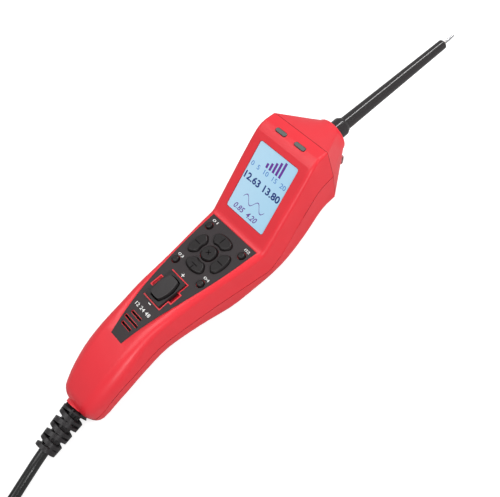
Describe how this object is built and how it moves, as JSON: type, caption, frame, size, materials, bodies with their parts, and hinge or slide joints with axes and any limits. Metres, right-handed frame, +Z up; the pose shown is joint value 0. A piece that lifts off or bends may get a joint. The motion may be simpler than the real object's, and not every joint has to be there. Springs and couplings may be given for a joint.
{
  "type": "circuit tester",
  "caption": "Handheld probe with a curved two-part grip, tilted colour screen, round keypad, rocker switch, insulated metal probe and a trailing supply lead.",
  "frame": {"origin": "middle of the tester's bounding box on the surface it lies on, measured without the lead", "axes": "+X towards the probe tip, +Y to the left of the handle seen from the grip, +Z up from the surface"},
  "size_m": [0.5945, 0.0813, 0.0656],
  "materials": {
    "red_plastic": "satin, moulded",
    "keypad_rubber": "matt",
    "dark_plastic": "matt",
    "probe_plastic": "glossy",
    "steel": "bright",
    "brass": "plain",
    "clear_plastic": "clear",
    "smoked_lens": "smooth",
    "led_plastic": "smooth",
    "display": "lit",
    "board": "solder resist",
    "cord_rubber": "matt",
    "wire_plastic": "plain"
  },
  "bodies": {
    "handle": {"upper_shell": "red_plastic", "lower_shell": "red_plastic", "nose_cap": "red_plastic", "probe_collar": "probe_plastic", "probe_sheath": "probe_plastic", "probe_tip": "steel", "probe_socket": "brass", "screen_window": "clear_plastic", "lcd_module": "display", "display_board": "board", "indicator_lens_left": "smoked_lens", "indicator_lens_right": "smoked_lens", "indicator_leds": "led_plastic", "lamp_lens_left": "clear_plastic", "lamp_lens_right": "clear_plastic", "lamp_leds": "led_plastic", "keypad_overlay": "keypad_rubber", "key_switches": "dark_plastic", "main_board": "board", "power_relay": "dark_plastic", "inner_wires": "wire_plastic", "switch_housing": "dark_plastic", "rocker_contacts": "brass", "speaker": "dark_plastic", "case_screws": "steel", "board_screws": "steel", "strain_relief": "cord_rubber", "power_cord": "cord_rubber", "cord_hank": "cord_rubber", "cord_tie": "cord_rubber", "cord_connector": "cord_rubber"},
    "centre_key": {"centre_key": "keypad_rubber"},
    "front_key": {"front_key": "keypad_rubber"},
    "rear_key": {"rear_key": "keypad_rubber"},
    "left_key": {"left_key": "keypad_rubber"},
    "right_key": {"right_key": "keypad_rubber"},
    "small_key_front_left": {"small_key_front_left": "keypad_rubber"},
    "small_key_front_right": {"small_key_front_right": "keypad_rubber"},
    "small_key_rear_left": {"small_key_rear_left": "keypad_rubber"},
    "small_key_rear_right": {"small_key_rear_right": "keypad_rubber"},
    "switch_rocker": {"switch_rocker": "dark_plastic"}
  },
  "joints": [
    {"name": "centre_key_press", "type": "slide", "parent": "handle", "child": "centre_key", "axis": [-0.1027, 0, -0.9947], "range_m": [0, 0.0008], "stiffness_N_per_m": 1500},
    {"name": "front_key_press", "type": "slide", "parent": "handle", "child": "front_key", "axis": [-0.1027, 0, -0.9947], "range_m": [0, 0.0008], "stiffness_N_per_m": 1500},
    {"name": "rear_key_press", "type": "slide", "parent": "handle", "child": "rear_key", "axis": [-0.1027, 0, -0.9947], "range_m": [0, 0.0008], "stiffness_N_per_m": 1500},
    {"name": "left_key_press", "type": "slide", "parent": "handle", "child": "left_key", "axis": [-0.1027, 0, -0.9947], "range_m": [0, 0.0008], "stiffness_N_per_m": 1500},
    {"name": "right_key_press", "type": "slide", "parent": "handle", "child": "right_key", "axis": [-0.1027, 0, -0.9947], "range_m": [0, 0.0008], "stiffness_N_per_m": 1500},
    {"name": "small_key_front_left_press", "type": "slide", "parent": "handle", "child": "small_key_front_left", "axis": [-0.1027, 0, -0.9947], "range_m": [0, 0.0008], "stiffness_N_per_m": 1500},
    {"name": "small_key_front_right_press", "type": "slide", "parent": "handle", "child": "small_key_front_right", "axis": [-0.1027, 0, -0.9947], "range_m": [0, 0.0008], "stiffness_N_per_m": 1500},
    {"name": "small_key_rear_left_press", "type": "slide", "parent": "handle", "child": "small_key_rear_left", "axis": [-0.1027, 0, -0.9947], "range_m": [0, 0.0008], "stiffness_N_per_m": 1500},
    {"name": "small_key_rear_right_press", "type": "slide", "parent": "handle", "child": "small_key_rear_right", "axis": [-0.1027, 0, -0.9947], "range_m": [0, 0.0008], "stiffness_N_per_m": 1500},
    {"name": "rocker_tip", "type": "hinge", "parent": "handle", "child": "switch_rocker", "pos_m": [-0.06046, 0, 0.03731], "axis": [0, 1, 0], "range_deg": [-7, 7], "stiffness_Nm_per_rad": 0.05}
  ]
}
